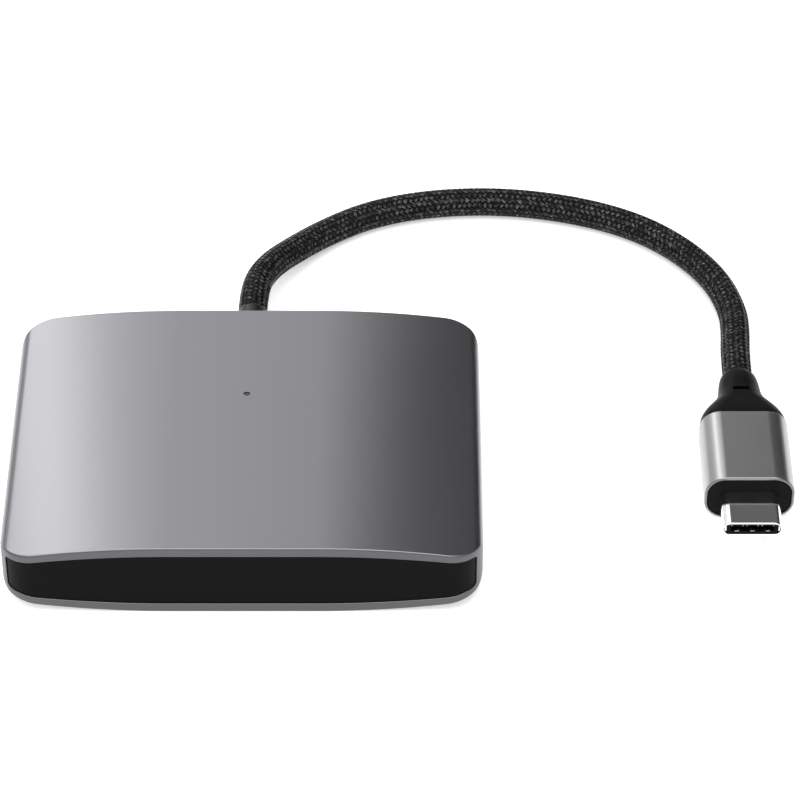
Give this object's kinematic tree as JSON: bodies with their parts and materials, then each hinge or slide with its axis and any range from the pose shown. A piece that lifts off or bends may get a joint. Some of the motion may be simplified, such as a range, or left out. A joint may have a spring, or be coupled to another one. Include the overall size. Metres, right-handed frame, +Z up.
{
  "type": "usb hub",
  "caption": "Flat extruded aluminium USB hub with plastic end panels, USB-C sockets in its sides, a pinhole light on top and a short braided cord ending in a USB-C plug.",
  "frame": {"origin": "under the middle of the hub housing, on the surface it stands on", "axes": "+Z up; the plain front panel faces -Y and the cord leaves the rear panel towards +Y; +X to the right seen from the front"},
  "size_m": [0.1083, 0.0875, 0.0118],
  "materials": {
    "anodised_sleeve": "bead-blasted, space-grey anodised",
    "panel_black": "satin black moulding",
    "carrier_plastic": "moulded",
    "board_green": "solder mask",
    "screw_steel": "zinc plated",
    "chip_resin": "moulded resin",
    "tinned_steel": "tin plated",
    "coil_ferrite": "sintered",
    "capacitor_ceramic": "fired",
    "led_body": "moulded",
    "clear_acrylic": "polished",
    "polished_shell": "nickel plated and polished",
    "socket_plastic": "moulded",
    "gold_contacts": "gold plated",
    "spring_steel": "bright",
    "gland_black": "soft moulding",
    "wire_jacket": "extruded",
    "braid_black": "plaited yarn",
    "anodised_plug": "fine blasted and anodised",
    "insert_black": "moulded",
    "relief_black": "soft moulding"
  },
  "bodies": {
    "root": {"board_carrier": "carrier_plastic", "board_screws": "screw_steel", "capacitors": "capacitor_ceramic", "clock_crystal": "tinned_steel", "cord": "braid_black", "cord_gland": "gland_black", "cord_wires": "wire_jacket", "front_panel": "panel_black", "housing_sleeve": "anodised_sleeve", "hub_controller": "chip_resin", "left_front_socket_contacts": "gold_contacts", "left_front_socket_shell": "polished_shell", "left_front_socket_tongue": "socket_plastic", "left_rear_socket_contacts": "gold_contacts", "left_rear_socket_shell": "polished_shell", "left_rear_socket_tongue": "socket_plastic", "light_pipe": "clear_acrylic", "main_board": "board_green", "memory_chip": "chip_resin", "plug_board": "board_green", "plug_chip": "chip_resin", "plug_contacts": "gold_contacts", "plug_crimp": "spring_steel", "plug_ground_springs": "spring_steel", "plug_housing": "anodised_plug", "plug_insulator": "socket_plastic", "plug_latch": "spring_steel", "plug_nose_insert": "insert_black", "plug_shell": "polished_shell", "plug_strain_relief": "relief_black", "power_controller": "chip_resin", "power_inductors": "coil_ferrite", "rear_panel": "panel_black", "right_front_socket_contacts": "gold_contacts", "right_front_socket_shell": "polished_shell", "right_front_socket_tongue": "socket_plastic", "right_rear_socket_contacts": "gold_contacts", "right_rear_socket_shell": "polished_shell", "right_rear_socket_tongue": "socket_plastic", "shield_can": "tinned_steel", "status_led": "led_body"}
  },
  "joints": []
}
